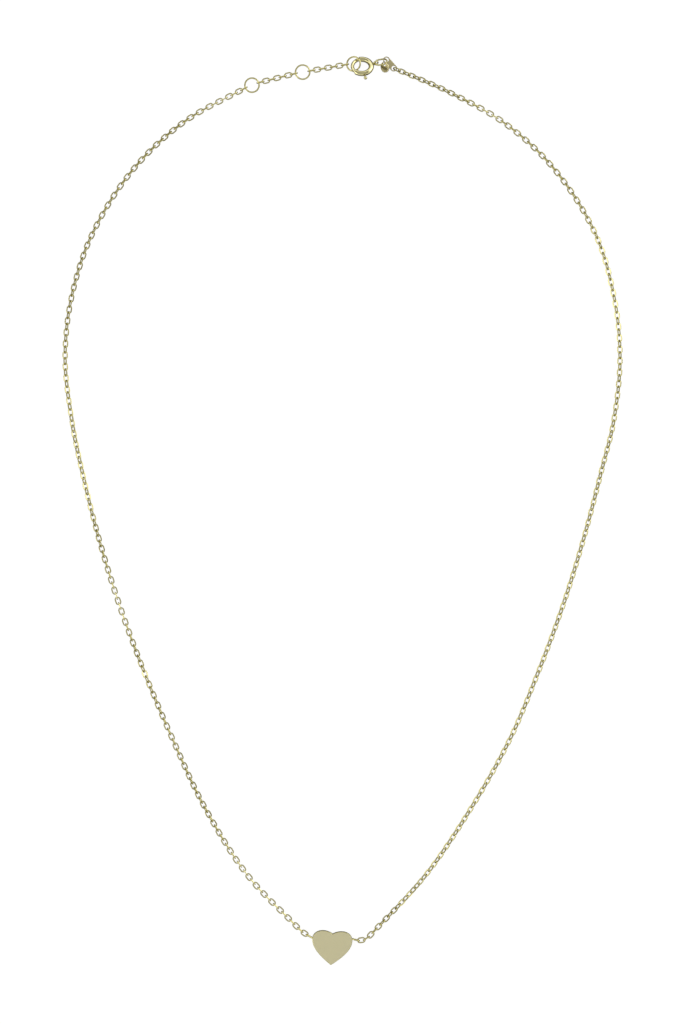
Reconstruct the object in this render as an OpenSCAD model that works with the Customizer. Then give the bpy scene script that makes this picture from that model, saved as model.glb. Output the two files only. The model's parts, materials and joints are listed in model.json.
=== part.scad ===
// Heart pendant necklace on a fine cable chain, closed and laid out flat.
// +Z is up from the surface it lies on and +Y runs from the heart to the clasp.
// The origin is the middle of the outline, on that surface.

/* [Chain] */
// Thickness of the chain's wire
wire_d = 0.26; // [0.22:0.01:0.27]
// Outer length of a link
link_length = 1.64; // [1.63:0.01:1.68]
// Outer width of a link
link_width = 1.15; // [1.10:0.01:1.25]
// Wanted distance from one link to the next
link_pitch = 1.06; // [1.05:0.005:1.07]

/* [Heart] */
// Width across the two lobes
heart_width = 7.7; // [7:0.1:8.5]
// Thickness of the plate
heart_thickness = 0.9; // [0.8:0.05:1.1]
// Angle that the heart hangs away from upright, clockwise
heart_turn = 3.5; // [0:0.5:6]

/* [Rings] */
// Outer diameter of the two adjuster rings and the end ring
ring_d = 3.03; // [2.9:0.01:3.2]
// Thickness of their wire
ring_wire_d = 0.31; // [0.28:0.01:0.32]
// Outer length of the oval jump ring
jump_length = 2.6; // [2.5:0.05:2.7]
// Outer width of the oval jump ring
jump_width = 1.85; // [1.8:0.05:1.95]
// Thickness of the jump ring's wire
jump_wire_d = 0.32; // [0.28:0.01:0.33]

/* [Clasp] */
// Outer diameter of the spring ring
clasp_d = 4.6; // [4.5:0.05:4.7]
// Outer diameter of its tube
tube_d = 1.0; // [0.98:0.01:1.02]
// Bore of its tube
tube_bore_d = 0.74; // [0.72:0.01:0.76]
// Thickness of the sliding tongue
tongue_d = 0.64; // [0.6:0.01:0.65]
// Angle that the clasp leans at, with its trigger side up
clasp_tilt = 33; // [32:1:35]
// Angle round the ring that the trigger slides through
trigger_travel = 60; // [40:1:65]

/* [Tags] */
// Width of the end plate
plate_width = 1.28; // [1.24:0.01:1.32]
// Distance between the end plate's two holes
plate_holes = 2.1; // [2.05:0.01:2.12]
// Diameter of the end plate's holes
plate_hole_d = 0.88; // [0.86:0.01:0.9]
// Diameter of the round tag
tag_d = 2.1; // [2.05:0.05:2.15]
// Thickness of the end plate and the round tag
tag_thickness = 0.22; // [0.18:0.01:0.24]

/* [Hidden] */
$fn = 48;
GOLD = [0.83, 0.76, 0.50];
SATIN_GOLD = [0.74, 0.71, 0.56];
STEEL = [0.72, 0.72, 0.72];

// Chain layout
chain_z = link_width / 2;
overhang = (link_length - wire_d - link_pitch) / 2; // from a crossing to a wire's centre
CURVE_STEPS = 24;
left_lead = [146, 138]; // headings of the links beside the left eyelet, nodes of their own
right_lead = [8, 32];

// Heart layout
heart_at = [-1.9, -82.4];
eyelet_embed = 0.15;
eyelet_reach = link_length - eyelet_embed - wire_d / 2 - overhang;
left_eyelet_heading = 151;
right_eyelet_heading = -14;
left_eyelet_foot = heart_point([-heart_width / 2, 0.1]);
right_eyelet_foot = heart_point([heart_width / 2, 0.35]);
left_contact = left_eyelet_foot + eyelet_reach * heading(left_eyelet_heading);
right_contact = right_eyelet_foot + eyelet_reach * heading(right_eyelet_heading);

// Where the two strands pass each height, as [y, left x, right x, left twist, right twist].
// A twist is the angle that the strand's links are rolled by about its own length.
LEVELS = [
    [-70, -18.2, 16.0, 5, 50],
    [-57, -26.4, 24.8, 22, 53],
    [-44, -32.5, 32.1, 15, 54],
    [-31, -38.0, 37.6, 30, 52],
    [-18, -42.8, 42.4, 3, 52],
    [-5, -46.8, 46.4, 25, 54],
    [8, -50.0, 49.8, 38, 55],
    [17, -51.8, 52.0, 40, 56],
    [29, -53.1, 53.2, 32, 58],
    [41, -51.8, 52.0, 27, 60],
    [53, -47.8, 48.4, 24, 64],
    [65, -40.2, 40.8, 22, 68]
];
// Further points over the top, as [x, y, twist]
LEFT_TOP = [[-30.4, 74.2, 22]];
RIGHT_TOP = [[31.4, 73.8, 72], [20.4, 80.0, 106]];
right_end_twist = 112;

// Rings in the left strand
ring_r = (ring_d - ring_wire_d) / 2;
ring_overhang = overhang + (ring_wire_d - wire_d) / 4;
ring_reach = ring_r - ring_overhang; // from a ring's centre to where a link crosses it
RING_1 = [-17.3, 81.3];
RING_2 = [-7.6, 83.8];
ring_1_heading = 22;
ring_2_heading = 10;
end_ring_tilt = 21;
end_ring_at = [2.15, 85.3, chain_z + ring_reach * sin(end_ring_tilt)];
end_ring_contact = [end_ring_at.x - ring_reach * cos(end_ring_tilt), end_ring_at.y];

// Clasp layout: angles go round the ring, counter-clockwise from +X
clasp_r = (clasp_d - tube_d) / 2;
clasp_at = [3.74, 84.75, clasp_r * sin(clasp_tilt) + tube_d / 2];
seat_angle = 105;
mouth_angle = 232;
trigger_angle = 282;
tube_arc = 360 - (mouth_angle - seat_angle);
seat_wall = 8;
tongue_gap = 1;
tongue_tail = 14; // how far the tongue runs on past the trigger
trigger_stem_d = 0.28;
trigger_knob_d = 0.66;
trigger_stem_length = 0.85;
slot_width = 0.34;
slot_margin = 5;
spring_wire_d = 0.1;
spring_turns = 14;
spring_sides = 5;
spring_steps = 9;
loop_angle = 18;
loop_wire_d = 0.28;
loop_r = 0.435;
loop_embed = 0.08;
loop_at_r = clasp_d / 2 - loop_embed + loop_r + loop_wire_d / 2;
loop_clearance = 0.1;
jump_overhang = (loop_wire_d + jump_wire_d + loop_clearance) / 4;

// Jump ring, end plate and tag layout
jump_from = clasp_point(loop_at_r + loop_r - 2 * jump_overhang, loop_angle);
jump_heading = 9;
jump_rise = 4;
jump_roll = -40;
jump_along = direction(jump_heading, jump_rise);
jump_across = cos(jump_roll) * direction(jump_heading + 90, 0)
    + sin(jump_roll) * direction(jump_heading, 90 + jump_rise);
jump_arc_r = (jump_width - jump_wire_d) / 2;
jump_straight = jump_length - jump_width;
jump_centre_x = (jump_length - jump_wire_d) / 2 - jump_overhang;
plate_hang = 27; // angle round the jump ring's far end
plate_heading = -47;
plate_roll = 2;
plate_hole_1 = jump_point(plate_hang);
plate_drop = asin((plate_hole_1.z - chain_z) / plate_holes);
plate_hole_2 = plate_hole_1 + plate_holes * direction(plate_heading, -plate_drop);
tag_hang = -74;
tag_heading = -80;
tag_drop = 7;
tag_roll = 44;
tag_hole_d = 0.8;
tag_hole_offset = 0.57;

// Strands, from the heart to the top, as [x, y, twist]
strand_end_heading = -26;
strand_end = [plate_hole_2.x, plate_hole_2.y] + overhang * heading(strand_end_heading);
LEFT_ROUTE = concat(
    [with_twist(lead_point(left_contact, left_lead, 2), 0)],
    [for (level = LEVELS) [level[1], level[0], level[3]]],
    LEFT_TOP,
    [with_twist(RING_1 - ring_reach * heading(ring_1_heading), 0)]
);
RIGHT_ROUTE = concat(
    [with_twist(lead_point(right_contact, right_lead, 2), 0)],
    [for (level = LEVELS) [level[2], level[0], level[4]]],
    RIGHT_TOP,
    [with_twist(strand_end, right_end_twist)]
);
MIDDLE_ROUTE = [
    with_twist(RING_1 + ring_reach * heading(ring_1_heading), 90),
    with_twist(RING_2 - ring_reach * heading(ring_2_heading), 90)
];
END_ROUTE = [
    with_twist(RING_2 + ring_reach * heading(ring_2_heading), 90),
    with_twist(end_ring_contact, 90)
];
SHORT_LINKS = 7;

LEFT_RUNS = len(LEFT_ROUTE) - 1;
RIGHT_RUNS = len(RIGHT_ROUTE) - 1;

// ---- Directions and places ----

function heading(a) = [cos(a), sin(a)];

function direction(turn, rise) = [cos(turn) * cos(rise), sin(turn) * cos(rise), sin(rise)];

function with_twist(p, twist) = [p.x, p.y, twist];

function heart_point(p) = heart_at + [
    p.x * cos(heart_turn) + p.y * sin(heart_turn),
    p.y * cos(heart_turn) - p.x * sin(heart_turn)
];

function clasp_point(r, a) = clasp_at
    + r * [cos(a), sin(a) * cos(clasp_tilt), -sin(a) * sin(clasp_tilt)];

// A point on the jump ring's wire, at an angle round its far end
function jump_point(a) = jump_from
    + (jump_centre_x + jump_straight / 2 + jump_arc_r * cos(a)) * jump_along
    + jump_arc_r * sin(a) * jump_across;

// The far end of the nth link beside an eyelet
function lead_point(contact, lead, n) =
    n == 0 ? contact : lead_point(contact, lead, n - 1) + link_pitch * heading(lead[n - 1]);

// ---- The strands' smooth curve ----

function flat(p) = [p.x, p.y];

function unit(v) = v / norm(v);

// Which way the curve runs at point k
function slope_at(route, k) = unit(
    flat(route[min(k + 1, len(route) - 1)]) - flat(route[max(k - 1, 0)])
);

function curve_point(route, k, t) =
    let (a = flat(route[k]), b = flat(route[k + 1]), span = norm(b - a))
    let (leave = span * slope_at(route, k), arrive = span * slope_at(route, k + 1))
    (2 * t ^ 3 - 3 * t ^ 2 + 1) * a + (t ^ 3 - 2 * t ^ 2 + t) * leave
    + (3 * t ^ 2 - 2 * t ^ 3) * b + (t ^ 3 - t ^ 2) * arrive;

// Lengths along run k of a route, paired with the curve's own parameter
function length_table(route, k) =
    let (dots = [for (i = [0:CURVE_STEPS]) curve_point(route, k, i / CURVE_STEPS)])
    [for (i = 0, s = 0; i <= CURVE_STEPS;
        s = s + (i < CURVE_STEPS ? norm(dots[i + 1] - dots[i]) : 0), i = i + 1)
        [s, i / CURVE_STEPS]];

function run_length(route, k) = length_table(route, k)[CURVE_STEPS][0];

function links_in(route, k) = round(run_length(route, k) / link_pitch);

function links_before(route, k) = k == 0 ? 0 : links_in(route, k - 1) + links_before(route, k - 1);

// The places where the links of run k cross each other
function crossings(route, k, count) =
    let (table = length_table(route, k), whole = table[CURVE_STEPS][0])
    let (inverse = [for (row = table) [row[0], row[1]]])
    [for (i = [0:count]) curve_point(route, k, lookup(whole * i / count, inverse))];

// ---- Shapes ----

// An oval link in the XY plane, its length along X
module oval(length, width, wire) {
    r = (width - wire) / 2;
    straight = length - width;
    for (side = [-1, 1]) {
        translate([side * straight / 2, 0, 0])
            rotate([0, 0, -90 * side])
                rotate_extrude(angle = 180) translate([r, 0]) circle(d = wire);
        translate([-straight / 2, side * r, 0])
            rotate([0, 90, 0]) cylinder(d = wire, h = straight);
    }
}

module round_ring(r, wire) {
    rotate_extrude() translate([r, 0]) circle(d = wire);
}

// One chain link between two crossings, rolled about its length
module chain_link(a, b, roll) {
    along = b - a;
    middle = (a + b) / 2;
    translate([middle.x, middle.y, chain_z])
        rotate([roll, 0, atan2(along.y, along.x)])
            oval(link_length, link_width, wire_d);
}

// The links of run k of a route
module strand(route, k, count) {
    dots = crossings(route, k, count);
    before = links_before(route, k);
    for (i = [0:count - 1]) {
        share = (i + 0.5) / count;
        twist = route[k][2] * (1 - share) + route[k + 1][2] * share;
        chain_link(dots[i], dots[i + 1], twist + 90 * ((before + i) % 2));
    }
}

module eyelet(contact, turn) {
    middle = contact - (link_length / 2 - wire_d / 2 - overhang) * heading(turn);
    color(GOLD)
        translate([middle.x, middle.y, chain_z])
            rotate([90, 0, turn])
                oval(link_length, link_width, wire_d);
}

// ---- The heart ----

function bezier(p, t) = (1 - t) ^ 3 * p[0] + 3 * t * (1 - t) ^ 2 * p[1]
    + 3 * t ^ 2 * (1 - t) * p[2] + t ^ 3 * p[3];

// Curves down one half of the heart, from the notch to the tip, for a half width of 1
HEART_CURVES = [
    [[0, 0.29], [0.12, 0.37], [0.30, 0.43], [0.48, 0.43]],
    [[0.48, 0.43], [0.77, 0.43], [1, 0.24], [1, 0]],
    [[1, 0], [1, -0.48], [0.53, -0.87], [0, -1.265]]
];
HEART_STEPS = 12;

module heart_plate() {
    half = [
        for (curve = HEART_CURVES)
            for (i = [0:HEART_STEPS - 1])
                bezier(curve, i / HEART_STEPS) * heart_width / 2
    ];
    tip = HEART_CURVES[2][3] * heart_width / 2;
    other_half = [for (i = [len(half) - 1:-1:1]) [-half[i].x, half[i].y]];
    color(SATIN_GOLD)
        translate([heart_at.x, heart_at.y, 0])
            rotate([0, 0, -heart_turn])
                linear_extrude(heart_thickness)
                    polygon(concat(half, [tip], other_half));
}

module left_eyelet() {
    eyelet(left_contact, left_eyelet_heading);
}

module right_eyelet() {
    eyelet(right_contact, right_eyelet_heading);
}

// ---- Chain nodes ----

module heart_link(contact, lead, n) {
    color(GOLD)
        chain_link(lead_point(contact, lead, n - 1), lead_point(contact, lead, n), 90 * (n - 1));
}

module chain_run(route, k) {
    color(GOLD) strand(route, k - 1, links_in(route, k - 1));
}

module middle_chain() {
    color(GOLD) strand(MIDDLE_ROUTE, 0, SHORT_LINKS);
}

module end_chain() {
    color(GOLD) strand(END_ROUTE, 0, SHORT_LINKS);
}

// ---- Rings ----

module adjuster_ring(centre) {
    color(GOLD)
        translate([centre.x, centre.y, chain_z])
            round_ring(ring_r, ring_wire_d);
}

module end_ring() {
    color(GOLD)
        translate(end_ring_at)
            rotate([0, -end_ring_tilt, 0])
                round_ring(ring_r, ring_wire_d);
}

module jump_ring() {
    color(GOLD)
        translate(jump_from)
            rotate([jump_roll, -jump_rise, jump_heading])
                translate([jump_centre_x, 0, 0])
                    oval(jump_length, jump_width, jump_wire_d);
}

// ---- The spring ring clasp ----

// Puts its children in the clasp's place, from a ring about the Z axis
module clasp_place() {
    translate(clasp_at) rotate([-clasp_tilt, 0, 0]) children();
}

// A round bar bent about the Z axis, from one angle to another
module bent_bar(d, from, to) {
    rotate([0, 0, from])
        rotate_extrude(angle = to - from)
            translate([clasp_r, 0]) circle(d = d);
}

module clasp_tube() {
    slot_from = trigger_angle - slot_margin;
    slot_arc = trigger_travel + 2 * slot_margin;
    color(GOLD) clasp_place() difference() {
        bent_bar(tube_d, mouth_angle, mouth_angle + tube_arc);
        bent_bar(tube_bore_d, mouth_angle - 1, mouth_angle + tube_arc - seat_wall);
        rotate([0, 0, slot_from])
            rotate_extrude(angle = slot_arc)
                translate([clasp_r + tube_bore_d / 4, -slot_width / 2])
                    square([tube_d / 2, slot_width]);
    }
}

module clasp_tongue() {
    color(GOLD) clasp_place() difference() {
        bent_bar(tongue_d, seat_angle + tongue_gap, trigger_angle + tongue_tail);
        trigger_stem();
    }
}

module trigger_stem() {
    rotate([0, 0, trigger_angle])
        translate([clasp_r + tongue_d / 4, 0, 0])
            rotate([0, 90, 0])
                cylinder(d = trigger_stem_d, h = trigger_stem_length + tongue_d / 4);
}

module clasp_trigger() {
    color(GOLD) clasp_place() union() {
        trigger_stem();
        rotate([0, 0, trigger_angle])
            translate([clasp_r + tongue_d / 2 + trigger_stem_length, 0, 0])
                sphere(d = trigger_knob_d);
    }
}

// The coil spring's centre line, a helix bent round the ring, t from 0 to 1
function spring_point(t) =
    let (from = trigger_angle + tongue_tail + 3)
    let (to = mouth_angle + tube_arc - seat_wall - 4)
    let (coil_r = (tongue_d - spring_wire_d) / 2)
    let (round_ring_angle = from + (to - from) * t, turn = 360 * spring_turns * t)
    let (r = clasp_r + coil_r * cos(turn))
    [r * cos(round_ring_angle), r * sin(round_ring_angle), coil_r * sin(turn)];

// One cross-section of the spring's wire, square to its centre line
function spring_section(t) =
    let (step = 0.25 / (spring_turns * spring_steps))
    let (along = unit(spring_point(t + step) - spring_point(t - step)))
    let (side = unit(cross(along, [0, 0, 1])), up = cross(side, along))
    [for (i = [0:spring_sides - 1])
        spring_point(t) + spring_wire_d / 2
            * (cos(360 * i / spring_sides) * side + sin(360 * i / spring_sides) * up)];

module clasp_spring() {
    sections = spring_turns * spring_steps;
    dots = [for (i = [0:sections]) each spring_section(i / sections)];
    walls = [
        for (i = [0:sections - 1])
            for (j = [0:spring_sides - 1])
                let (next = (j + 1) % spring_sides, here = i * spring_sides)
                [here + j, here + next, here + spring_sides + next, here + spring_sides + j]
    ];
    first_cap = [for (j = [spring_sides - 1:-1:0]) j];
    last_cap = [for (j = [0:spring_sides - 1]) sections * spring_sides + j];
    color(STEEL) clasp_place()
        polyhedron(dots, concat(walls, [first_cap, last_cap]), convexity = 10);
}

module clasp_loop() {
    color(GOLD) clasp_place()
        rotate([90, 0, loop_angle])
            translate([loop_at_r, 0, 0])
                round_ring(loop_r, loop_wire_d);
}

// ---- Tags ----

module end_plate() {
    color(GOLD)
        translate(plate_hole_1)
            rotate([plate_roll, plate_drop, plate_heading])
                translate([0, 0, -tag_thickness / 2]) difference() {
                    union() {
                        for (x = [0, plate_holes])
                            translate([x, 0, 0]) cylinder(d = plate_width, h = tag_thickness);
                        translate([0, -plate_width / 2, 0])
                            cube([plate_holes, plate_width, tag_thickness]);
                    }
                    for (x = [0, plate_holes])
                        translate([x, 0, -tag_thickness])
                            cylinder(d = plate_hole_d, h = 3 * tag_thickness);
                }
}

module round_tag() {
    color(GOLD)
        translate(jump_point(tag_hang))
            rotate([tag_roll, tag_drop, tag_heading])
                translate([0, 0, -tag_thickness / 2]) difference() {
                    translate([tag_hole_offset, 0, 0])
                        cylinder(d = tag_d, h = tag_thickness);
                    translate([0, 0, -tag_thickness])
                        cylinder(d = tag_hole_d, h = 3 * tag_thickness);
                }
}

// ---- Nodes ----

heart_plate();
left_eyelet();
right_eyelet();
for (n = [1:len(left_lead)])
    heart_link(left_contact, left_lead, n);
for (n = [1:len(right_lead)])
    heart_link(right_contact, right_lead, n);
for (k = [1:LEFT_RUNS])
    chain_run(LEFT_ROUTE, k);
for (k = [1:RIGHT_RUNS])
    chain_run(RIGHT_ROUTE, k);
adjuster_ring(RING_1);  // adjuster_ring_1
middle_chain();
adjuster_ring(RING_2);  // adjuster_ring_2
end_chain();
end_ring();
clasp_tube();
clasp_tongue();
clasp_trigger();
clasp_spring();
clasp_loop();
jump_ring();
end_plate();
round_tag();
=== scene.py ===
import json
import math

import bmesh
import bpy
import numpy as np
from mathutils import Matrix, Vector


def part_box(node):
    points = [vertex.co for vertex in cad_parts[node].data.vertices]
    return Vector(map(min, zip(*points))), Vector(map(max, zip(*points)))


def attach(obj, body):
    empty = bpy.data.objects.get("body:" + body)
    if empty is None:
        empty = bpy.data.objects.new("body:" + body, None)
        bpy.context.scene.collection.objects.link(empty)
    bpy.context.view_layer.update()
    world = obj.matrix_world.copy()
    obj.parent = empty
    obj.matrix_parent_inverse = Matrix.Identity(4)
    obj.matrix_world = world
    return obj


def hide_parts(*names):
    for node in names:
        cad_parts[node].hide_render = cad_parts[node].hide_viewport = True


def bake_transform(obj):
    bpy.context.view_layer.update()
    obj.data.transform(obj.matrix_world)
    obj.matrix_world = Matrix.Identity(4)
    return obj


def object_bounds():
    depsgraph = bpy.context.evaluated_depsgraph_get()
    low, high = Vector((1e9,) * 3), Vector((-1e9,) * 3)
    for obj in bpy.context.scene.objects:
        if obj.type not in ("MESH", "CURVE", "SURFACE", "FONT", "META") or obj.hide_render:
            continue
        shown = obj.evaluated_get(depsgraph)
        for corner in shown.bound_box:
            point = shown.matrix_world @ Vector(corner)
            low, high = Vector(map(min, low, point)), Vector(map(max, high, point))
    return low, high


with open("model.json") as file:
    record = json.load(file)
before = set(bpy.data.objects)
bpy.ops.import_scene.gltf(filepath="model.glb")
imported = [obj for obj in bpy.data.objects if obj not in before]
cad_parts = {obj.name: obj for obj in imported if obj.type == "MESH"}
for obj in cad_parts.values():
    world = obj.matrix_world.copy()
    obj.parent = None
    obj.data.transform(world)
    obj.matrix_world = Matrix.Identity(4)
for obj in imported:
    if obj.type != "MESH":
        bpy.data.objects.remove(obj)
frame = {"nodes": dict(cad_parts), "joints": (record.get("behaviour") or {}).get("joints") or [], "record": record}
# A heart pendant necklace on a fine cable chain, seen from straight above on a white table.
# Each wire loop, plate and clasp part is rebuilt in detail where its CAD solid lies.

CAD_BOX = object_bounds()
MM = 0.001
FULL_TURN = 2 * math.pi

# ---- Values ----

# Fit and finish
WELD = 1e-6  # corners closer together than this are one corner
TINY_ANGLE = 1e-6  # angles closer together than this are the same
SNUG = 0.005 * MM  # how far inside its CAD solid a loop, a plate or the spring stays
SHARP_ANGLE = math.radians(40)  # faces that meet at more than this have a hard edge

# Wire
WIRE_SIDES = 12
LINK_STEPS = 40  # sections of wire round a link
RING_STEPS = 84
SEAM_HALF_WIDTH = 0.014 * MM
SEAM_DEPTH = 0.07  # share of the wire's radius
LINK_FACET = 0.75  # how far out a link's two flat faces are cut, as a share of the wire's radius
RUB_DEPTH = 0.14  # how far the inside of a link's two ends has worn, as a share of the radius
RUB_FALLOFF_ALONG = 4  # powers: the higher, the closer the wear stays to the link's very end
RUB_FALLOFF_ROUND = 3  # and to the wire's innermost line
LONG_LOOP = 1.1  # loops longer than this many times their width are worn at their ends
SOLDER_REACH = 0.16 * MM
SOLDER_SWELL = 0.5  # share of the wire's radius

# Plates
EDGE_STEPS = 4  # steps round a rounded edge
SUPPORT_INSET = 0.02 * MM  # a ring of corners this far in keeps a face's rim flat
CORNER_ANGLE = math.radians(28)  # an outline that turns more than this has a corner
MITRE_LIMIT = 0.3  # keeps a moved loop's sharp corners from running far out
HEART_ROUNDING = 0.09 * MM
TAG_ROUNDING = 0.05 * MM

# Clasp
CLASP_SIDES = 40
CLASP_STEP = math.radians(4)
TUBE_LIP = 0.05 * MM
TONGUE_LIP = 0.12 * MM
SEAT_WALL = math.radians(8)
SLOT_WIDTH = 0.34 * MM
SLOT_MARGIN = math.radians(5)
# The inside material is painted shade: a dark gold on the bore, the mouth's rim and the slot's walls, where shade
# falls.
OUTSIDE, INSIDE_PAINTED_SHADE = 0, 1  # the tube's two materials

# Trigger
LATHE_SIDES = 32
STEM_RADIUS = 0.14 * MM
STEM_FLARE = 1.25  # how much wider the stem is where it meets the knob
FLARE_START = 1.25  # where it starts to widen, in the knob's radii from the knob's centre
KNOB_STEPS = 13
CROWN_CUT = 0.02 * MM
CROWN_RADIUS = 0.3  # share of the knob's radius

# Spring
SPRING_WIRE = 0.1 * MM
SPRING_TURNS = 14
SPRING_STEPS = 16  # sections of wire to a turn
SPRING_SIDES = 8
AHEAD = 0.1  # how far ahead the wire's direction is taken, in sections
COIL_CROWDING = 0.4  # how much denser than the average the coils are at the spring's two ends

# Metals: linear colour, roughness and how much darker the dull patches are
CHAIN_GOLD = ((0.80, 0.73, 0.32), 0.16, 0.1)
CLASP_GOLD = ((0.86, 0.79, 0.42), 0.17, 0.1)
# Painted shade: a dark gold for the inside of the clasp's tube, standing in for the shade in its bore, mouth rim
# and slot.
BORE_PAINTED_SHADE = ((0.30, 0.27, 0.17), 0.45, 0.2)
TAG_GOLD = ((0.72, 0.64, 0.35), 0.22, 0.1)
HEART_GOLD = ((0.92, 0.86, 0.55), 0.54, 0.015)
HEART_EDGE_GOLD = ((0.80, 0.73, 0.32), 0.2, 0.1)
SPRING_STEEL = ((0.55, 0.56, 0.58), 0.3, 0.1)

# Metal surfaces: the scales are features to the metre
PATCH_SCALE = 700
PATCH_DETAIL = 3.0
GLOSS_SCALE = 2600
GLOSS_DETAIL = 2.0
SCRATCH_SCALE = 3500
SCRATCH_DETAIL = 4.0
SCRATCH_DEPTH = 0.01 * MM
SCRATCH_STRENGTH = 0.12
ROUGHNESS_SPREAD = 0.04
SCRATCH_STRETCH = (1.0, 7.0, 2.0)
HEART_BRUSHING = (0.6, 9.0, 1.0)
NOISE_SPREAD = (0.3, 0.7)  # where nearly all of a noise's values lie

# Camera
FRAME_TO_LENGTH = 1.127  # height of the picture over the length of the necklace
AIM_OFFSET = (-0.2 * MM, -0.25 * MM)
LENS = 100
SENSOR = 36

# Studio
FLOOR_SIZE = 6
FLOOR_DROP = 0.02 * MM
FLOOR_ROUGHNESS = 0.9
FLOOR_LEVEL = 0.2
FLOOR_GLOW = 0.89  # lifts the table to just white in the picture, its shadows nearly so
FLOOR_IN_METAL = 0.2  # how bright the metal sees the table
BACKDROP_LEVEL = 0.95
TENT_LEVELS = (  # brightness of the tent by height, 0 at the horizon and 1 overhead
    (0.0, 0.4), (0.2, 1.25), (0.48, 1.1), (0.6, 0.28), (0.82, 0.3), (0.92, 0.52),
)
LIGHTS = (  # name, place, size and power
    ("key", (0.75, 0.6, 0.38), 0.7, 2.6),
    ("fill", (-0.6, -0.2, 0.35), 0.5, 1.0),
)

# ---- Reading the frame ----

BODY_OF = {
    node: body
    for body, members in frame["record"]["behaviour"]["bodies"].items()
    for node in members
}
JOINTS = {joint["name"]: joint for joint in frame["joints"]}
CHAIN_HEIGHT = JOINTS["heart_flip"]["pos_m"][2]


def welded(dots):
    """The first of each set of corners that share a place, and which one every corner became."""
    grid = np.round(np.asarray(dots) / WELD).astype(np.int64)
    _, first, same = np.unique(grid, axis=0, return_index=True, return_inverse=True)
    return first, same.ravel()


def node_triangles(node):
    """A CAD node's triangles, as the places of their corners and as welded corner numbers."""
    mesh = frame["nodes"][node].data
    dots = np.empty(len(mesh.vertices) * 3, np.float32)
    mesh.vertices.foreach_get("co", dots)
    dots = dots.reshape(-1, 3).astype(float)
    mesh.calc_loop_triangles()
    corners = np.empty(len(mesh.loop_triangles) * 3, np.int32)
    mesh.loop_triangles.foreach_get("vertices", corners)
    _, same = welded(dots)
    return dots[corners].reshape(-1, 3, 3), same[corners].reshape(-1, 3)


def solids(node):
    """The triangles of each separate solid in a CAD node, an array of (triangle, corner, xyz)."""
    places, numbers = node_triangles(node)
    label = np.arange(numbers.max() + 1)
    while True:
        merged = label.copy()
        lowest = label[numbers].min(axis=1)
        for corner in numbers.T:
            np.minimum.at(merged, corner, lowest)
        merged = merged[merged]
        if np.array_equal(merged, label):
            break
        label = merged
    owner = label[numbers[:, 0]]
    return [places[owner == one] for one in np.unique(owner)]


def principal_axes(triangles):
    """A surface's long, wide and thin directions, from its area's second moments.

    A triangle's moment is a twelfth of its area times its corners' and nine times its middle's.
    """
    a, b, c = triangles.transpose(1, 0, 2)
    area = np.linalg.norm(np.cross(b - a, c - a), axis=1) / 2
    middles = triangles.mean(axis=1)
    centre = (area[:, None] * middles).sum(axis=0) / area.sum()
    spread = 9 * np.einsum("t,ti,tj->ij", area, middles - centre, middles - centre)
    for corner in (a, b, c):
        spread += np.einsum("t,ti,tj->ij", area, corner - centre, corner - centre)
    thin, wide, _ = np.linalg.eigh(spread)[1].T
    thin = thin if thin[2] > 0 else -thin
    wide = wide if wide[0] > 0 else -wide
    return np.cross(wide, thin), wide, thin


class Place:
    """Where a solid lies: its own axes (x long, y wide, z thin), its middle and its sizes."""

    def __init__(self, triangles):
        self.axes = np.array(principal_axes(triangles))
        reach = triangles.reshape(-1, 3) @ self.axes.T
        low, high = reach.min(axis=0), reach.max(axis=0)
        self.middle = (low + high) / 2 @ self.axes
        self.length, self.width, self.thickness = high - low - 2 * SNUG

    def to_own(self, dots):
        """Corners in the row frame, given in the solid's own axes."""
        return (dots - self.middle) @ self.axes.T

    def to_frame(self, dots):
        """Corners in the solid's own axes, given in the row frame."""
        return np.asarray(dots) @ self.axes + self.middle


# ---- Making pieces ----


class Shape:
    """Corners and faces of a piece, gathered from several parts."""

    def __init__(self):
        self.dots, self.faces, self.slots = [], [], []

    def add(self, dots, faces, slots=None):
        """Adds a part, its faces numbering its own corners from 0."""
        base = len(self.dots)
        self.dots.extend(map(tuple, np.asarray(dots)))
        self.faces.extend([base + corner for corner in face] for face in faces)
        self.slots.extend(slots or [0] * len(faces))


def finish_piece(name, shape, node, materials, across=None):
    """Makes an object from a shape and puts it in place of a CAD node, on the node's body.

    A piece that goes across a joint is left where it lies, on neither body; the two bodies and the places that it
    names are not used.
    """
    mesh = bpy.data.meshes.new(name)
    mesh.from_pydata(shape.dots, [], shape.faces)
    for material in materials:
        mesh.materials.append(material)
    mesh.polygons.foreach_set("material_index", shape.slots)
    mesh.shade_smooth()
    mesh.set_sharp_from_angle(angle=SHARP_ANGLE)
    mesh.validate()
    piece = bpy.data.objects.new(name, mesh)
    bpy.context.scene.collection.objects.link(piece)
    if across:
        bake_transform(piece)
    else:
        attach(piece, BODY_OF[node])
    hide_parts(node)
    return piece


def grid_faces(rows, sides, closed):
    """Quads between rows of corners that each go once round, and round again if closed."""
    faces = []
    for row in range(rows if closed else rows - 1):
        here, there = row * sides, (row + 1) % rows * sides
        for side in range(sides):
            turn = (side + 1) % sides
            faces.append((here + side, here + turn, there + turn, there + side))
    return faces


def capped_faces(rows, sides):
    """Quads between rows of corners, and one face over each end."""
    last = (rows - 1) * sides
    caps = [range(sides)[::-1], range(last, last + sides)]
    return grid_faces(rows, sides, False) + caps


def close_up(piece):
    """Joins a piece's corners that share a place, and turns its faces outward."""
    work = bmesh.new()
    work.from_mesh(piece.data)
    bmesh.ops.remove_doubles(work, verts=work.verts, dist=WELD / 10)
    bmesh.ops.recalc_face_normals(work, faces=work.faces)
    work.to_mesh(piece.data)
    work.free()


# ---- Wire loops ----


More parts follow.
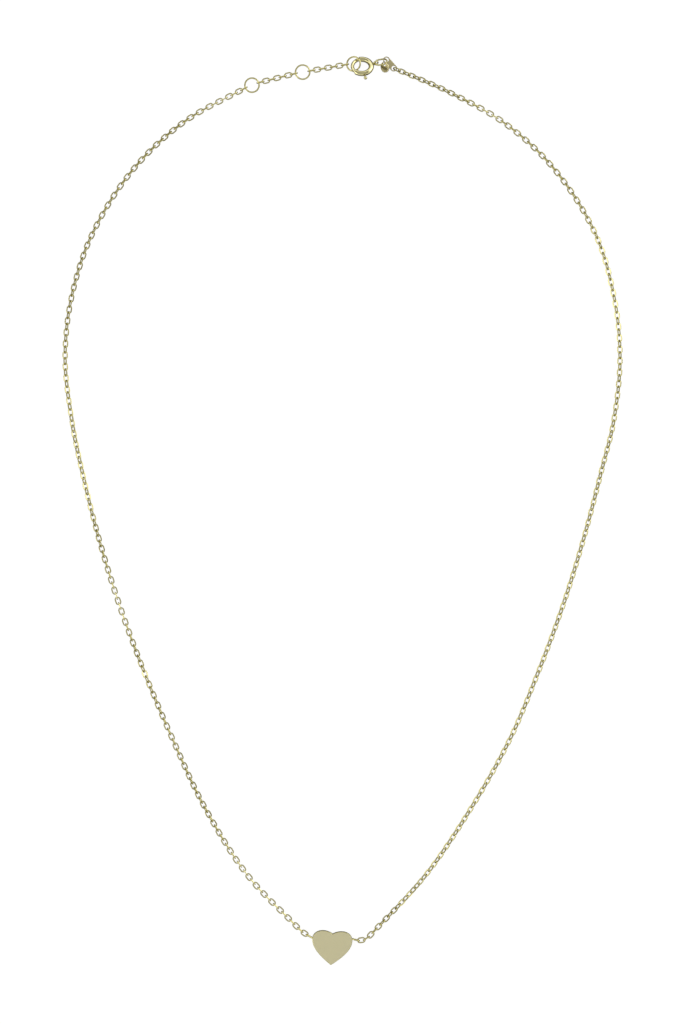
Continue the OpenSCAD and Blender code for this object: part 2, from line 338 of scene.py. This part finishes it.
def oval_at(place, s):
    """The wire's centre and outward direction, s along an oval from the middle of one side."""
    r = (place.width - place.thickness) / 2
    half = max(place.length - place.width, 0) / 2
    arc = math.pi * r
    if s < half:
        return (s, -r), (0, -1)
    if s < half + arc:
        turn = (s - half) / r - math.pi / 2
        return (half + r * math.cos(turn), r * math.sin(turn)), (math.cos(turn), math.sin(turn))
    if s < 3 * half + arc:
        return (2 * half + arc - s, r), (0, 1)
    if s < 3 * half + 2 * arc:
        turn = (s - 3 * half - arc) / r + math.pi / 2
        return (r * math.cos(turn) - half, r * math.sin(turn)), (math.cos(turn), math.sin(turn))
    return (s - 4 * half - 2 * arc, -r), (0, -1)


def along_oval(place, steps):
    """Distances along an oval, close together at the solder seam that it starts with."""
    straight = max(place.length - place.width, 0)
    whole = math.pi * (place.width - place.thickness) + 2 * straight
    near = [0, SEAM_HALF_WIDTH, 2 * SEAM_HALF_WIDTH]
    even = [whole * k / steps for k in range(1, steps)]
    return near + even + [whole - d for d in near[:0:-1]]


def wire_turns(facet):
    """Angles round the wire's section, the edges of its flat faces among them.

    They go down, so that the wire's faces look outward.
    """
    edge = math.asin(facet)
    count = WIRE_SIDES // 2
    steps = range(count + 1 if facet < 1 else count)
    return [half - edge * (2 * k / count - 1) for half in (math.pi, 0) for k in steps]


def wire_loop(place, steps, facet=1, solder_at=None):
    """An oval or round loop of wire: a seam, ends worn inside, solder where it meets a plate."""
    dots = []
    radius = place.thickness / 2
    flat = facet * radius
    distances = along_oval(place, steps)
    turns = wire_turns(facet)
    for s in distances:
        centre, outward = oval_at(place, s)
        thick = 1 - SEAM_DEPTH if s == 0 else 1
        at_end = outward[0] ** RUB_FALLOFF_ALONG if place.length > LONG_LOOP * place.width else 0
        if solder_at is not None:
            away = math.dist(centre, solder_at) / SOLDER_REACH
            thick += SOLDER_SWELL * math.exp(-away ** 2)
        for turn in turns:
            inside = max(-math.cos(turn), 0) ** RUB_FALLOFF_ROUND
            r = radius * (thick - RUB_DEPTH * at_end * inside)
            out = r * math.cos(turn)
            up = min(max(r * math.sin(turn), -flat), flat)
            dots.append((centre[0] + out * outward[0], centre[1] + out * outward[1], up))
    return place.to_frame(dots), grid_faces(len(distances), len(turns), True)


def loops_piece(node, steps, material, facet=1):
    """Every loop of wire in a CAD node, as one piece."""
    shape = Shape()
    for solid in solids(node):
        shape.add(*wire_loop(Place(solid), steps, facet))
    finish_piece(node + "_wire", shape, node, [material])


def soldered_loop_piece(node, meets, steps, material):
    """A loop whose nearest side to a place is soldered there."""
    shape = Shape()
    place = Place(solids(node)[0])
    foot = place.to_own(np.array(meets))[:2]
    foot *= (place.length - place.thickness) / 2 / np.linalg.norm(foot)
    shape.add(*wire_loop(place, steps, solder_at=tuple(foot)))
    finish_piece(node + "_wire", shape, node, [material])


# ---- Plates ----


def face_loops(triangles, place):
    """The closed loops round a plate's upper face in its own axes, material on their left."""
    own = place.to_own(triangles.reshape(-1, 3)).reshape(-1, 3, 3)
    upper = own[(own[:, :, 2] > place.thickness / 2 - WELD).all(axis=1)]
    dots = upper.reshape(-1, 3)
    first, same = welded(dots)
    edges = set()
    for a, b, c in same.reshape(-1, 3):
        edges |= {(a, b), (b, c), (c, a)}
    following = {a: b for a, b in edges if (b, a) not in edges}
    loops = []
    while following:
        start = here = min(following)
        loop = []
        while here in following:
            loop.append(dots[first[here]][:2])
            here = following.pop(here)
        assert here == start
        loops.append(np.array(loop))
    return loops


def corner_turns(loop):
    """How far a loop turns at each of its corners."""
    ahead = np.roll(loop, -1, axis=0) - loop
    headings = np.arctan2(ahead[:, 1], ahead[:, 0])
    turns = headings - np.roll(headings, 1)
    return np.abs((turns + math.pi) % FULL_TURN - math.pi)


def smoothed(loop):
    """The loop with a corner added midway along each side, by the four-point rule.

    The curve goes through the old corners and doesn't run on round a sharp one.
    """
    sharp = corner_turns(loop) > CORNER_ANGLE
    result = []
    count = len(loop)
    for k in range(count):
        here, there = loop[k], loop[(k + 1) % count]
        before = 2 * here - there if sharp[k] else loop[k - 1]
        after = 2 * there - here if sharp[(k + 1) % count] else loop[(k + 2) % count]
        result.append(here)
        result.append((9 * (here + there) - before - after) / 16)
    return np.array(result)


def inset(loop, distance):
    """The loop moved towards its left by a distance, mitred at its corners."""
    ahead = np.roll(loop, -1, axis=0) - loop
    ahead /= np.linalg.norm(ahead, axis=1)[:, None]
    left = np.stack([-ahead[:, 1], ahead[:, 0]], axis=1)
    behind = np.roll(left, 1, axis=0)
    facing = 1 + (left * behind).sum(axis=1)[:, None]
    return loop + distance * (left + behind) / np.maximum(facing, MITRE_LIMIT)


def rounded_edge(thickness, rounding):
    """Insets and heights over a plate's edge, from its lower face to its upper face."""
    half = thickness / 2
    turns = [math.pi / 2 * k / EDGE_STEPS for k in range(EDGE_STEPS + 1)]
    lower = [
        (rounding * (1 - math.sin(t)), rounding * (1 - math.cos(t)) - half) for t in turns
    ]
    upper = [(across, -height) for across, height in reversed(lower)]
    support = rounding + SUPPORT_INSET
    return [(support, -half)] + lower + upper + [(support, half)]


def fill_between(loops, height):
    """Triangles that fill the space between loops at one height, as corners and faces."""
    work = bmesh.new()
    edges = []
    for loop in loops:
        row = [work.verts.new((x, y, height)) for x, y in loop]
        edges += [work.edges.new((row[k - 1], row[k])) for k in range(len(row))]
    work.verts.index_update()
    bmesh.ops.triangle_fill(work, use_beauty=True, edges=edges, normal=(0, 0, 1))
    work.verts.index_update()
    faces = [[corner.index for corner in face.verts] for face in work.faces]
    dots = [tuple(corner.co) for corner in work.verts]
    work.free()
    if height < 0:
        faces = [face[::-1] for face in faces]
    return dots, faces


def plate_piece(node, rounding, face_material, edge_material, name):
    """A flat plate with rounded edges and rounded rims round its holes."""
    triangles = solids(node)[0]
    place = Place(triangles)
    loops = [smoothed(loop) for loop in face_loops(triangles, place)]
    edge = rounded_edge(place.thickness, rounding)
    shape = Shape()
    for loop in loops:
        dots = [(x, y, height) for across, height in edge for x, y in inset(loop, across)]
        faces = grid_faces(len(edge), len(loop), False)
        flat = {0, len(edge) - 2}
        slots = [0 if k // len(loop) in flat else 1 for k in range(len(faces))]
        shape.add(place.to_frame(dots), faces, slots)
    for across, height in (edge[0], edge[-1]):
        dots, faces = fill_between([inset(loop, across) for loop in loops], height)
        shape.add(place.to_frame(dots), faces)
    close_up(finish_piece(name, shape, node, [face_material, edge_material]))


# ---- The spring ring clasp ----


class Ring:
    """The clasp's own axes: angles go round its centre, from the frame's +X."""

    def __init__(self, joint):
        self.centre = np.array(joint["pos_m"])
        self.axis = np.array(joint["axis"]) / np.linalg.norm(joint["axis"])
        self.zero = np.array([1.0, 0, 0]) - self.axis[0] * self.axis
        self.zero /= np.linalg.norm(self.zero)
        self.quarter = np.cross(self.axis, self.zero)

    def outward(self, angle):
        """The way out from the centre at an angle."""
        return math.cos(angle) * self.zero + math.sin(angle) * self.quarter

    def at(self, angle, out, up):
        """A point at an angle round the ring, out from its centre and up along its axis."""
        return self.centre + out * self.outward(angle) + up * self.axis

    def polar(self, dots):
        """The angle, distance out and height of points."""
        away = dots - self.centre
        x, y = away @ self.zero, away @ self.quarter
        return np.arctan2(y, x), np.hypot(x, y), away @ self.axis


def covered_arc(angles):
    """The first and last angle of points that cover part of a ring, counter-clockwise."""
    ordered = np.sort(angles % FULL_TURN)
    gaps = np.diff(np.append(ordered, ordered[0] + FULL_TURN))
    after = int(np.argmax(gaps))
    first = ordered[(after + 1) % len(ordered)]
    return first, ordered[after] + (0 if ordered[after] > first else FULL_TURN)


def bar_sizes(ring, node):
    """First and last angle, the bend's radius and the bar's radius of a bent round bar."""
    angle, out, up = ring.polar(np.concatenate(solids(node)).reshape(-1, 3))
    bar = (up.max() - up.min()) / 2
    return (*covered_arc(angle), out.max() - bar, bar)


def stations(first, last, marks=()):
    """Angles from first to last, no further apart than a step, with every mark among them."""
    stops = sorted([first, last, *marks])
    result = [first]
    for a, b in zip(stops, stops[1:]):
        count = max(1, math.ceil((b - a) / CLASP_STEP - TINY_ANGLE))
        result += [a + (b - a) * k / count for k in range(1, count + 1)]
    return result


def lip_steps(lip, bend):
    """Steps from a bar's flat end to its full width: how far round the ring, and how deep."""
    turns = [math.pi / 2 * k / EDGE_STEPS for k in range(EDGE_STEPS + 1)]
    return [(lip * (1 - math.cos(t)) / bend, lip * (1 - math.sin(t))) for t in turns]


def tongue_piece(ring, material):
    """The sliding tongue: a bent round bar with rounded ends."""
    first, last, bend, bar = bar_sizes(ring, "clasp_tongue")
    lips = lip_steps(TONGUE_LIP, bend)
    on = TONGUE_LIP / bend
    rows = [(first + along, bar - deep) for along, deep in lips]
    rows += [(angle, bar) for angle in stations(first + on, last - on)[1:-1]]
    rows += [(last - along, bar - deep) for along, deep in reversed(lips)]
    turns = [FULL_TURN * side / CLASP_SIDES for side in range(CLASP_SIDES)]
    dots = [
        ring.at(angle, bend + r * math.cos(t), r * math.sin(t)) for angle, r in rows for t in turns
    ]
    shape = Shape()
    shape.add(dots, capped_faces(len(rows), CLASP_SIDES))
    close_up(finish_piece("clasp_tongue_bar", shape, "clasp_tongue", [material]))


def section_turns(bar):
    """Angles round the tube's section, with the trigger slot's two edges among them."""
    edge = math.asin(SLOT_WIDTH / 2 / bar)
    count = CLASP_SIDES - 2
    return [edge + (FULL_TURN - 2 * edge) * k / count for k in range(count + 1)] + [0.0]


def slot_arc(ring, first):
    """The first and last angle of the trigger's slot, in a tube that starts at an angle."""
    trigger = trigger_angle(ring)
    while trigger < first:
        trigger += FULL_TURN
    travel = math.radians(JOINTS["trigger_slide"]["range_deg"][1])
    return trigger - SLOT_MARGIN, trigger + travel + SLOT_MARGIN


class Tube:
    """The clasp's tube while it is made: rows of corners round its section, and their faces."""

    def __init__(self, ring, bend, bar):
        self.ring, self.bend = ring, bend
        self.turns = section_turns(bar)
        self.sides = len(self.turns)
        self.slot_sides = (self.sides - 2, self.sides - 1)
        self.shape = Shape()

    def row(self, angle, r):
        """Adds corners round the section at an angle and radius, and numbers the first."""
        at, bend = self.ring.at, self.bend
        dots = [at(angle, bend + r * math.cos(t), r * math.sin(t)) for t in self.turns]
        self.shape.add(dots, [])
        return len(self.shape.dots) - self.sides

    def face(self, corners, material):
        self.shape.faces.append(corners)
        self.shape.slots.append(material)

    def quad(self, a, b, side, material):
        """One face between two rows."""
        turn = (side + 1) % self.sides
        self.face((a + side, a + turn, b + turn, b + side), material)

    def band(self, a, b, material, slotted=False):
        """Faces all round between two rows, apart from the slot."""
        for side in range(self.sides):
            if not (slotted and side in self.slot_sides):
                self.quad(a, b, side, material)

    def cap(self, row, material):
        """One face over a whole section; the one inside the bore looks back at the mouth."""
        corners = list(range(row, row + self.sides))
        self.face(corners if material == OUTSIDE else corners[::-1], material)

    def slot_walls(self, outer, inner):
        """Joins the outer and inner rows along the slot's two sides and across its two ends."""
        low, middle = self.slot_sides
        high = 0
        for k in range(len(outer) - 1):
            corners = (outer[k], outer[k + 1], inner[k + 1], inner[k])
            for side in (low, high):
                self.face([corner + side for corner in corners], INSIDE_PAINTED_SHADE)
        for k in (0, -1):
            for side in (low, middle):
                self.quad(outer[k], inner[k], side, INSIDE_PAINTED_SHADE)


def tube_piece(ring, outside, inside):
    """The clasp's hollow tube, with its trigger slot, open mouth and closed seat; its bore, its mouth's rim and
    its slot's walls are a dark gold that paints the shade there.
    """
    first, last, bend, bar = bar_sizes(ring, "clasp_tube")
    bore = bar_bore(ring, bend)
    slot = slot_arc(ring, first)
    seat = last - SEAT_WALL
    on = TUBE_LIP / bend
    angles = stations(first + on, last - on, [*slot, seat])
    in_slot = [slot[0] - TINY_ANGLE < angle < slot[1] + TINY_ANGLE for angle in angles]
    slotted = [a and b for a, b in zip(in_slot, in_slot[1:])]
    tube = Tube(ring, bend, bar)

    outer = [tube.row(angle, bar) for angle in angles]
    for a, b, cut in zip(outer, outer[1:], slotted):
        tube.band(a, b, OUTSIDE, cut)
    inner = [tube.row(angle, bore) for angle in angles if angle < seat + TINY_ANGLE]
    for a, b, cut in zip(inner, inner[1:], slotted):
        tube.band(b, a, INSIDE_PAINTED_SHADE, cut)

    lips = lip_steps(TUBE_LIP, bend)
    mouth = [tube.row(first + along, bar - deep) for along, deep in lips]
    for a, b in zip(mouth, mouth[1:]):
        tube.band(a, b, OUTSIDE)
    # The rim round the mouth takes the inside material too, painted shade that draws the dark gap at the mouth.
    bore_rim = tube.row(first, bore)
    tube.band(bore_rim, mouth[0], INSIDE_PAINTED_SHADE)
    tube.band(inner[0], bore_rim, INSIDE_PAINTED_SHADE)
    end = [tube.row(last - along, bar - deep) for along, deep in lips]
    for a, b in zip(end[::-1], end[-2::-1]):
        tube.band(a, b, OUTSIDE)
    tube.cap(end[0], OUTSIDE)
    tube.cap(inner[-1], INSIDE_PAINTED_SHADE)

    cut = [k for k in range(len(inner)) if in_slot[k]]
    tube.slot_walls([outer[k] for k in cut], [inner[k] for k in cut])
    close_up(finish_piece("clasp_tube_body", tube.shape, "clasp_tube", [outside, inside]))


def bar_bore(ring, bend):
    """The radius of the tube's bore: the nearest that its corners come to the bend's circle."""
    _, out, up = ring.polar(np.concatenate(solids("clasp_tube")).reshape(-1, 3))
    return np.hypot(out - bend, up).min()


def trigger_angle(ring):
    """The angle round the ring at which the trigger sits."""
    low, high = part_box("clasp_trigger")
    angle, _, _ = ring.polar(np.array((low + high) / 2))
    return float(angle)


def knob_profile(inner, outer, knob):
    """Distances out from the ring's centre and radii, from the stem's foot to the crown."""
    centre = outer - knob
    stem = [(inner, 0), (inner, STEM_RADIUS), (centre - FLARE_START * knob, STEM_RADIUS)]
    flare = [(centre - knob, STEM_FLARE * STEM_RADIUS)]
    turns = [math.pi * k / KNOB_STEPS for k in range(2, KNOB_STEPS - 1)]
    ball = [(centre - knob * math.cos(t), knob * math.sin(t)) for t in turns]
    crown = [(outer - CROWN_CUT, CROWN_RADIUS * knob), (outer - CROWN_CUT, 0)]
    return stem + flare + ball + crown


def trigger_piece(ring, material):
    """The trigger: a stem that flares into a round knob with a flattened crown."""
    corners = np.concatenate(solids("clasp_trigger")).reshape(-1, 3)
    outward = ring.outward(trigger_angle(ring))
    sideways = np.cross(ring.axis, outward)
    reach = (corners - ring.centre) @ outward
    profile = knob_profile(reach.min(), reach.max(), np.ptp(corners @ sideways) / 2)
    dots = []
    for out, r in profile:
        for side in range(LATHE_SIDES):
            turn = FULL_TURN * side / LATHE_SIDES
            off = r * (math.cos(turn) * sideways + math.sin(turn) * ring.axis)
            dots.append(ring.centre + out * outward + off)
    shape = Shape()
    shape.add(dots, grid_faces(len(profile), LATHE_SIDES, False))
    close_up(finish_piece("clasp_trigger_knob", shape, "clasp_trigger", [material]))


def coil_centre(ring, sizes, share):
    """Where the spring's wire is, and its way out from the coil, a share of the way along."""
    first, last, bend, coil = sizes
    crowded = COIL_CROWDING * math.sin(FULL_TURN * share) / FULL_TURN
    turn = FULL_TURN * SPRING_TURNS * (share + crowded)
    angle = first + (last - first) * share
    r = coil - SPRING_WIRE / 2 - SNUG
    centre = ring.at(angle, bend + r * math.cos(turn), r * math.sin(turn))
    return centre, math.cos(turn) * ring.outward(angle) + math.sin(turn) * ring.axis


def spring_piece(ring, material):
    """The coil spring, between the tube and the tongue."""
    sizes = bar_sizes(ring, "clasp_spring")
    first, last, bend, _ = sizes
    steps = SPRING_TURNS * SPRING_STEPS
    dots = []
    for k in range(steps + 1):
        centre, out = coil_centre(ring, sizes, k / steps)
        ahead, _ = coil_centre(ring, sizes, (k + AHEAD) / steps)
        side = np.cross(ahead - centre, out)
        side /= np.linalg.norm(side)
        for j in range(SPRING_SIDES):
            turn = FULL_TURN * j / SPRING_SIDES
            dots.append(centre + SPRING_WIRE / 2 * (math.cos(turn) * out + math.sin(turn) * side))
    shape = Shape()
    shape.add(dots, capped_faces(steps + 1, SPRING_SIDES))
    across = ("clasp", "trigger", ring.at(last, bend, 0), ring.at(first, bend, 0))
    finish_piece("clasp_coil_spring", shape, "clasp_spring", [material], across)


# ---- Materials ----


class Nodes:
    """A material's nodes, made and joined by short calls."""

    def __init__(self, name):
        self.material = bpy.data.materials.new(name)
        self.material.use_nodes = True
        self.tree = self.material.node_tree
        self.shader = self.tree.nodes["Principled BSDF"]

    def add(self, kind, **values):
        """Adds a node, setting its properties by name and its inputs by their labels."""
        node = self.tree.nodes.new("ShaderNode" + kind)
        for key, value in values.items():
            if hasattr(node, key):
                setattr(node, key, value)
            else:
                node.inputs[key.replace("_", " ")].default_value = value
        return node

    def join(self, source, target):
        self.tree.links.new(source, target)

    def noise(self, place, scale, detail):
        """Noise with features of about 1 / scale metres."""
        node = self.add("TexNoise", Scale=scale, Detail=detail)
        self.join(place, node.inputs["Vector"])
        return node.outputs["Fac"]

    def ranged(self, source, low, high):
        """A noise's values spread from low to high."""
        from_min, from_max = NOISE_SPREAD
        node = self.add("MapRange", From_Min=from_min, From_Max=from_max, To_Min=low, To_Max=high)
        self.join(source, node.inputs["Value"])
        return node.outputs["Result"]


def metal_tone(nodes, place, colour, tone):
    """A metal's colour, duller in patches, and a little darker on some loops than on others."""
    each = nodes.add("NewGeometry").outputs["Random Per Island"]
    patches = nodes.ranged(nodes.noise(place, PATCH_SCALE, PATCH_DETAIL), 0, 1)
    dull = nodes.add("Mix", data_type="RGBA")
    dull.inputs["A"].default_value = (*colour, 1)
    dull.inputs["B"].default_value = (*[c * (1 - tone) for c in colour], 1)
    nodes.join(patches, dull.inputs["Factor"])
    vary = nodes.add("Mix", data_type="RGBA", blend_type="MULTIPLY")
    vary.inputs["Factor"].default_value = 1
    nodes.join(dull.outputs["Result"], vary.inputs["A"])
    nodes.join(nodes.ranged(each, 1 - tone / 2, 1), vary.inputs["B"])
    nodes.join(vary.outputs["Result"], nodes.shader.inputs["Base Color"])


def metal_lines(nodes, place, strength, stretched):
    """Fine scratches or a brushed grain, as a bump."""
    stretch = nodes.add("Mapping", Scale=stretched)
    nodes.join(place, stretch.inputs["Vector"])
    bump = nodes.add("Bump", Strength=strength, Distance=SCRATCH_DEPTH)
    lines = nodes.noise(stretch.outputs["Vector"], SCRATCH_SCALE, SCRATCH_DETAIL)
    nodes.join(lines, bump.inputs["Height"])
    nodes.join(bump.outputs["Normal"], nodes.shader.inputs["Normal"])


def metal(name, colour, roughness, tone, stretched=SCRATCH_STRETCH):
    """Metal with uneven tone and gloss, and fine lines stretched along its axes."""
    nodes = Nodes(name)
    nodes.shader.inputs["Metallic"].default_value = 1.0
    place = nodes.add("TexCoord").outputs["Object"]
    metal_tone(nodes, place, colour, tone)
    gloss = nodes.noise(place, GLOSS_SCALE, GLOSS_DETAIL)
    low, high = roughness - ROUGHNESS_SPREAD, roughness + ROUGHNESS_SPREAD
    nodes.join(nodes.ranged(gloss, low, high), nodes.shader.inputs["Roughness"])
    metal_lines(nodes, place, SCRATCH_STRENGTH, stretched)
    return nodes.material


# ---- The pieces ----

chain_gold = metal("chain_gold", *CHAIN_GOLD)
ring_gold = metal("ring_gold", *CHAIN_GOLD)
clasp_gold = metal("clasp_gold", *CLASP_GOLD)
# Painted shade for the inside of the clasp's tube.
bore_painted_shade = metal("clasp_bore_painted_shade", *BORE_PAINTED_SHADE)
tag_gold = metal("tag_gold", *TAG_GOLD)
satin_gold = metal("heart_satin", *HEART_GOLD, HEART_BRUSHING)
edge_gold = metal("heart_edge", *HEART_EDGE_GOLD)
steel = metal("spring_steel", *SPRING_STEEL)

for node in sorted(frame["nodes"]):
    if "chain" in node or "heart_link" in node:
        loops_piece(node, LINK_STEPS, chain_gold, LINK_FACET)
for node in ("adjuster_ring_1", "adjuster_ring_2", "end_ring", "jump_ring"):
    loops_piece(node, RING_STEPS, ring_gold)

heart_low, heart_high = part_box("heart_plate")
heart_middle = (heart_low + heart_high) / 2
for node in ("left_eyelet", "right_eyelet"):
    soldered_loop_piece(node, heart_middle, LINK_STEPS, chain_gold)
plate_piece("heart_plate", HEART_ROUNDING, satin_gold, edge_gold, "heart")
plate_piece("end_plate", TAG_ROUNDING, tag_gold, tag_gold, "end_tag")
plate_piece("round_tag", TAG_ROUNDING, tag_gold, tag_gold, "blank_tag")

clasp_ring = Ring(JOINTS["trigger_slide"])
soldered_loop_piece("clasp_loop", clasp_ring.centre, RING_STEPS, clasp_gold)
tube_piece(clasp_ring, clasp_gold, bore_painted_shade)
tongue_piece(clasp_ring, clasp_gold)
trigger_piece(clasp_ring, clasp_gold)
spring_piece(clasp_ring, steel)

# ---- The studio ----


def seen_or_reflected(tree, seen, reflected):
    """A grey level that the picture sees, and another that the metal reflects."""
    path = tree.nodes.new("ShaderNodeLightPath")
    mix = tree.nodes.new("ShaderNodeMix")
    mix.data_type = "RGBA"
    mix.inputs["B"].default_value = (seen, seen, seen, 1)
    tree.links.new(path.outputs["Is Camera Ray"], mix.inputs["Factor"])
    if isinstance(reflected, bpy.types.NodeSocket):
        tree.links.new(reflected, mix.inputs["A"])
    else:
        mix.inputs["A"].default_value = (reflected, reflected, reflected, 1)
    return mix.outputs["Result"]


def white_floor(low):
    """A plain white table under the necklace."""
    mesh = bpy.data.meshes.new("table")
    half = FLOOR_SIZE / 2
    height = low.z - FLOOR_DROP
    ground = [(-half, -half), (half, -half), (half, half), (-half, half)]
    mesh.from_pydata([(x, y, height) for x, y in ground], [], [(0, 1, 2, 3)])
    nodes = Nodes("table_white")
    nodes.join(
        seen_or_reflected(nodes.tree, FLOOR_LEVEL, FLOOR_IN_METAL),
        nodes.shader.inputs["Base Color"],
    )
    nodes.join(
        seen_or_reflected(nodes.tree, FLOOR_GLOW, 0.0),
        nodes.shader.inputs["Emission Color"],
    )
    nodes.shader.inputs["Emission Strength"].default_value = 1
    nodes.shader.inputs["Roughness"].default_value = FLOOR_ROUGHNESS
    mesh.materials.append(nodes.material)
    table = bpy.data.objects.new("table", mesh)
    bpy.context.scene.collection.objects.link(table)


def studio_world():
    """A white tent: dim round the opening overhead, with dark gaps between its bright panels."""
    world = bpy.data.worlds.new("tent")
    bpy.context.scene.world = world
    world.use_nodes = True
    tree = world.node_tree
    direction = tree.nodes.new("ShaderNodeTexCoord")
    split = tree.nodes.new("ShaderNodeSeparateXYZ")
    tree.links.new(direction.outputs["Generated"], split.inputs[0])
    ramp = tree.nodes.new("ShaderNodeValToRGB")
    tree.links.new(split.outputs["Z"], ramp.inputs["Fac"])
    elements = ramp.color_ramp.elements
    while len(elements) < len(TENT_LEVELS):
        elements.new(1)
    for element, (height, level) in zip(elements, TENT_LEVELS):
        element.position = height
        element.color = (level, level, level, 1)
    tree.links.new(
        seen_or_reflected(tree, BACKDROP_LEVEL, ramp.outputs["Color"]),
        tree.nodes["Background"].inputs["Color"],
    )


def soft_box(name, where, size, power):
    """A square soft light that faces the middle of the necklace."""
    lamp = bpy.data.lights.new(name, "AREA")
    lamp.shape = "SQUARE"
    lamp.size = size
    lamp.energy = power
    box = bpy.data.objects.new(name, lamp)
    box.location = where
    box.rotation_mode = "QUATERNION"
    box.rotation_quaternion = (-Vector(where)).to_track_quat("-Z", "Y")
    box.visible_camera = False
    bpy.context.scene.collection.objects.link(box)


def overhead_camera(low, high):
    """A long lens straight above, framed as a catalogue picture."""
    data = bpy.data.cameras.new("camera")
    data.lens = LENS
    data.sensor_width = SENSOR
    camera = bpy.data.objects.new("camera", data)
    bpy.context.scene.collection.objects.link(camera)
    height = FRAME_TO_LENGTH * (high.y - low.y)
    middle = (low + high) / 2
    away = height / 2 / (SENSOR / 2 / LENS)
    camera.location = (middle.x + AIM_OFFSET[0], middle.y + AIM_OFFSET[1], CHAIN_HEIGHT + away)
    data.clip_start = away / 100
    data.clip_end = away * 100
    bpy.context.scene.camera = camera


white_floor(CAD_BOX[0])
studio_world()
for light in LIGHTS:
    soft_box(*light)
overhead_camera(*CAD_BOX)
bpy.context.scene.view_settings.view_transform = "Standard"
